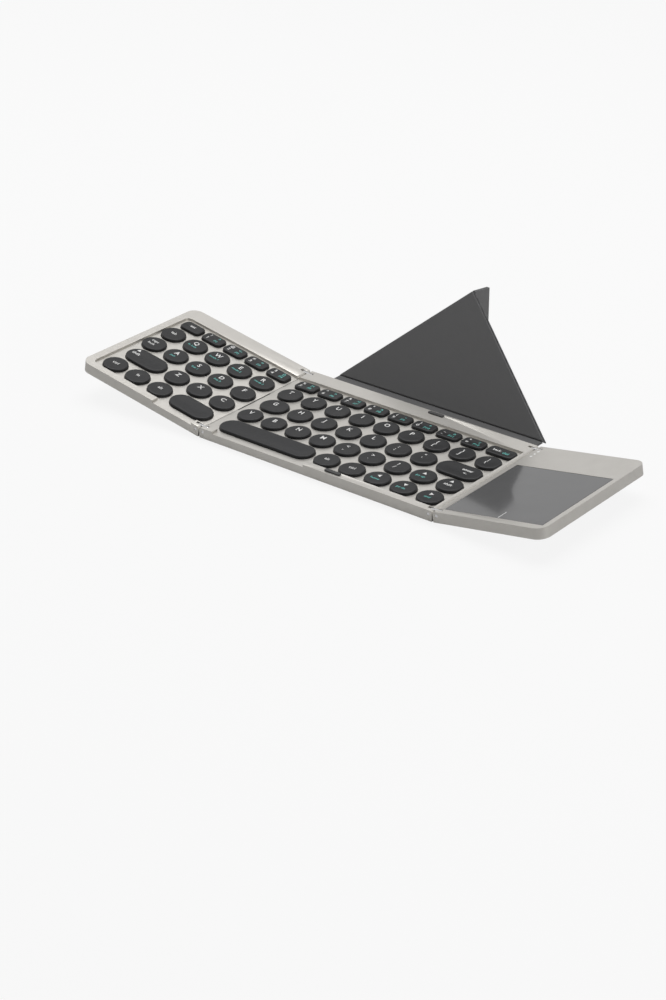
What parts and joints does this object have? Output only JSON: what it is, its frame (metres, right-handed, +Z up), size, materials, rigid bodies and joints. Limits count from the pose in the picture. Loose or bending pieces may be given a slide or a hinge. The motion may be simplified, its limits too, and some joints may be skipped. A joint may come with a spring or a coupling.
{
  "type": "folding keyboard",
  "caption": "Pocket keyboard that folds in three, with round keys, a touchpad wing and a fabric cover whose rear flap folds up into a pyramid stand for a phone or tablet.",
  "frame": {"origin": "centre of the underside of the backing board under the centre section; the table is z = 0", "axes": "+X along the keyboard's length towards the touchpad wing, +Y towards the stand at the rear, +Z up"},
  "size_m": [0.3023, 0.1516, 0.0593],
  "materials": {
    "metal_case": "fine satin, champagne silver",
    "base_plate": "satin",
    "circuit_board": "green lacquer",
    "dome_rubber": "matt",
    "screw_steel": "plain",
    "hinge_chrome": "polished",
    "ribbon_cable": "satin film",
    "black_rubber": "matt",
    "touchpad_glass": "gloss",
    "battery_foil": "matt foil",
    "socket_steel": "plain",
    "light_lens": "gloss",
    "cover_fabric": "fine ribbed cloth on stiff board",
    "keycap": "satin, black"
  },
  "bodies": {
    "centre": {"centre_deck": "metal_case", "centre_bottom_plate": "base_plate", "centre_circuit_board": "circuit_board", "centre_dome_sheet": "dome_rubber", "centre_plate_screws": "screw_steel", "centre_hinge_pins": "hinge_chrome", "rim_bumpers": "black_rubber", "cover_backing": "cover_fabric"},
    "left_link": {"left_hinge_links": "hinge_chrome", "left_ribbon_cable": "ribbon_cable"},
    "left_wing": {"left_deck": "metal_case", "left_bottom_plate": "base_plate", "left_circuit_board": "circuit_board", "left_dome_sheet": "dome_rubber", "left_plate_screws": "screw_steel", "left_wing_hinge_pins": "hinge_chrome", "left_wing_feet": "black_rubber"},
    "right_link": {"right_hinge_links": "hinge_chrome", "right_ribbon_cable": "ribbon_cable"},
    "right_wing": {"right_deck": "metal_case", "right_bottom_plate": "base_plate", "right_circuit_board": "circuit_board", "touchpad_glass": "touchpad_glass", "touchpad_sensor_board": "circuit_board", "click_switch": "dome_rubber", "battery": "battery_foil", "charging_socket": "socket_steel", "indicator_lights": "light_lens", "right_plate_screws": "screw_steel", "right_wing_hinge_pins": "hinge_chrome", "right_wing_feet": "black_rubber"},
    "spine": {"cover_spine": "cover_fabric"},
    "stand_front": {"stand_panel": "cover_fabric"},
    "left_leg": {"left_leg_panel": "cover_fabric"},
    "right_leg": {"right_leg_panel": "cover_fabric"},
    "left_flap": {"left_closure_flap": "cover_fabric"},
    "right_flap": {"right_closure_flap": "cover_fabric"},
    "escape_key_body": {"escape_key": "keycap"},
    "left_number_keys_body": {"left_number_keys": "keycap"},
    "tab_key_body": {"tab_key": "keycap"},
    "left_upper_keys_body": {"left_upper_keys": "keycap"},
    "caps_key_body": {"caps_key": "keycap"},
    "left_home_keys_body": {"left_home_keys": "keycap"},
    "left_shift_key_body": {"left_shift_key": "keycap"},
    "left_lower_keys_body": {"left_lower_keys": "keycap"},
    "left_modifier_keys_body": {"left_modifier_keys": "keycap"},
    "left_space_key_body": {"left_space_key": "keycap"},
    "centre_number_keys_body": {"centre_number_keys": "keycap"},
    "backspace_key_body": {"backspace_key": "keycap"},
    "centre_upper_keys_body": {"centre_upper_keys": "keycap"},
    "centre_home_keys_body": {"centre_home_keys": "keycap"},
    "enter_key_body": {"enter_key": "keycap"},
    "centre_lower_keys_body": {"centre_lower_keys": "keycap"},
    "right_shift_key_body": {"right_shift_key": "keycap"},
    "up_arrow_key_body": {"up_arrow_key": "keycap"},
    "arrow_keys_body": {"arrow_keys": "keycap"},
    "space_key_body": {"space_key": "keycap"},
    "right_modifier_keys_body": {"right_modifier_keys": "keycap"}
  },
  "joints": [
    {"name": "left_link_fold", "type": "hinge", "parent": "centre", "child": "left_link", "pos_m": [-0.0734, 0, 0.0048], "axis": [0, 1, 0], "range_deg": [-5, 85]},
    {"name": "left_wing_fold", "type": "hinge", "parent": "left_link", "child": "left_wing", "pos_m": [-0.07838, 0, 0.00524], "axis": [0, 1, 0], "range_deg": [-5, 85]},
    {"name": "right_link_fold", "type": "hinge", "parent": "centre", "child": "right_link", "pos_m": [0.0734, 0, 0.0048], "axis": [0, -1, 0], "range_deg": [-5, 85]},
    {"name": "right_wing_fold", "type": "hinge", "parent": "right_link", "child": "right_wing", "pos_m": [0.07838, 0, 0.00524], "axis": [0, -1, 0], "range_deg": [-5, 85]},
    {"name": "spine_crease", "type": "hinge", "parent": "centre", "child": "spine", "pos_m": [0, 0.0474, 0], "axis": [1, 0, 0], "range_deg": [0, 90]},
    {"name": "panel_crease", "type": "hinge", "parent": "spine", "child": "stand_front", "pos_m": [0, 0.0624, 0], "axis": [1, 0, 0], "range_deg": [0, 26.18]},
    {"name": "left_leg_crease", "type": "hinge", "parent": "stand_front", "child": "left_leg", "pos_m": [-0.069, 0.0624, 0], "axis": [0.724, 0.3043, 0.6191], "range_deg": [0, 145.83]},
    {"name": "right_leg_crease", "type": "hinge", "parent": "stand_front", "child": "right_leg", "pos_m": [0.069, 0.0624, 0], "axis": [0.724, -0.3043, -0.6191], "range_deg": [0, 145.83]},
    {"name": "left_flap_crease", "type": "hinge", "parent": "left_leg", "child": "left_flap", "pos_m": [0, 0.0914, 0], "axis": [0, 0, -1], "range_deg": [0, 67.2]},
    {"name": "right_flap_crease", "type": "hinge", "parent": "right_leg", "child": "right_flap", "pos_m": [0, 0.0914, 0], "axis": [0, 0, 1], "range_deg": [0, 67.2]},
    {"name": "escape_key_press", "type": "slide", "parent": "left_wing", "child": "escape_key_body", "axis": [0.1736, 0, 0.9848], "range_m": [-0.0011, 0], "stiffness_N_per_m": 250, "springref_m": 0.0005},
    {"name": "left_number_keys_press", "type": "slide", "parent": "left_wing", "child": "left_number_keys_body", "axis": [0.1736, 0, 0.9848], "range_m": [-0.0011, 0], "stiffness_N_per_m": 1000, "springref_m": 0.0005},
    {"name": "tab_key_press", "type": "slide", "parent": "left_wing", "child": "tab_key_body", "axis": [0.1736, 0, 0.9848], "range_m": [-0.0011, 0], "stiffness_N_per_m": 250, "springref_m": 0.0005},
    {"name": "left_upper_keys_press", "type": "slide", "parent": "left_wing", "child": "left_upper_keys_body", "axis": [0.1736, 0, 0.9848], "range_m": [-0.0011, 0], "stiffness_N_per_m": 1000, "springref_m": 0.0005},
    {"name": "caps_key_press", "type": "slide", "parent": "left_wing", "child": "caps_key_body", "axis": [0.1736, 0, 0.9848], "range_m": [-0.0011, 0], "stiffness_N_per_m": 250, "springref_m": 0.0005},
    {"name": "left_home_keys_press", "type": "slide", "parent": "left_wing", "child": "left_home_keys_body", "axis": [0.1736, 0, 0.9848], "range_m": [-0.0011, 0], "stiffness_N_per_m": 1000, "springref_m": 0.0005},
    {"name": "left_shift_key_press", "type": "slide", "parent": "left_wing", "child": "left_shift_key_body", "axis": [0.1736, 0, 0.9848], "range_m": [-0.0011, 0], "stiffness_N_per_m": 250, "springref_m": 0.0005},
    {"name": "left_lower_keys_press", "type": "slide", "parent": "left_wing", "child": "left_lower_keys_body", "axis": [0.1736, 0, 0.9848], "range_m": [-0.0011, 0], "stiffness_N_per_m": 750, "springref_m": 0.0005},
    {"name": "left_modifier_keys_press", "type": "slide", "parent": "left_wing", "child": "left_modifier_keys_body", "axis": [0.1736, 0, 0.9848], "range_m": [-0.0011, 0], "stiffness_N_per_m": 750, "springref_m": 0.0005},
    {"name": "left_space_key_press", "type": "slide", "parent": "left_wing", "child": "left_space_key_body", "axis": [0.1736, 0, 0.9848], "range_m": [-0.0011, 0], "stiffness_N_per_m": 250, "springref_m": 0.0005},
    {"name": "centre_number_keys_press", "type": "slide", "parent": "centre", "child": "centre_number_keys_body", "axis": [0, 0, 1], "range_m": [-0.0011, 0], "stiffness_N_per_m": 2000, "springref_m": 0.0005},
    {"name": "backspace_key_press", "type": "slide", "parent": "centre", "child": "backspace_key_body", "axis": [0, 0, 1], "range_m": [-0.0011, 0], "stiffness_N_per_m": 250, "springref_m": 0.0005},
    {"name": "centre_upper_keys_press", "type": "slide", "parent": "centre", "child": "centre_upper_keys_body", "axis": [0, 0, 1], "range_m": [-0.0011, 0], "stiffness_N_per_m": 2250, "springref_m": 0.0005},
    {"name": "centre_home_keys_press", "type": "slide", "parent": "centre", "child": "centre_home_keys_body", "axis": [0, 0, 1], "range_m": [-0.0011, 0], "stiffness_N_per_m": 1750, "springref_m": 0.0005},
    {"name": "enter_key_press", "type": "slide", "parent": "centre", "child": "enter_key_body", "axis": [0, 0, 1], "range_m": [-0.0011, 0], "stiffness_N_per_m": 250, "springref_m": 0.0005},
    {"name": "centre_lower_keys_press", "type": "slide", "parent": "centre", "child": "centre_lower_keys_body", "axis": [0, 0, 1], "range_m": [-0.0011, 0], "stiffness_N_per_m": 1750, "springref_m": 0.0005},
    {"name": "right_shift_key_press", "type": "slide", "parent": "centre", "child": "right_shift_key_body", "axis": [0, 0, 1], "range_m": [-0.0011, 0], "stiffness_N_per_m": 250, "springref_m": 0.0005},
    {"name": "up_arrow_key_press", "type": "slide", "parent": "centre", "child": "up_arrow_key_body", "axis": [0, 0, 1], "range_m": [-0.0011, 0], "stiffness_N_per_m": 250, "springref_m": 0.0005},
    {"name": "arrow_keys_press", "type": "slide", "parent": "centre", "child": "arrow_keys_body", "axis": [0, 0, 1], "range_m": [-0.0011, 0], "stiffness_N_per_m": 750, "springref_m": 0.0005},
    {"name": "space_key_press", "type": "slide", "parent": "centre", "child": "space_key_body", "axis": [0, 0, 1], "range_m": [-0.0011, 0], "stiffness_N_per_m": 250, "springref_m": 0.0005},
    {"name": "right_modifier_keys_press", "type": "slide", "parent": "centre", "child": "right_modifier_keys_body", "axis": [0, 0, 1], "range_m": [-0.0011, 0], "stiffness_N_per_m": 500, "springref_m": 0.0005}
  ],
  "couplings": [
    {"joint": "left_link_fold", "follows": "left_wing_fold", "ratio": 1},
    {"joint": "right_link_fold", "follows": "right_wing_fold", "ratio": 1},
    {"joint": "left_flap_crease", "follows": "left_leg_crease", "ratio": 0.46084},
    {"joint": "right_flap_crease", "follows": "right_leg_crease", "ratio": 0.46084}
  ]
}
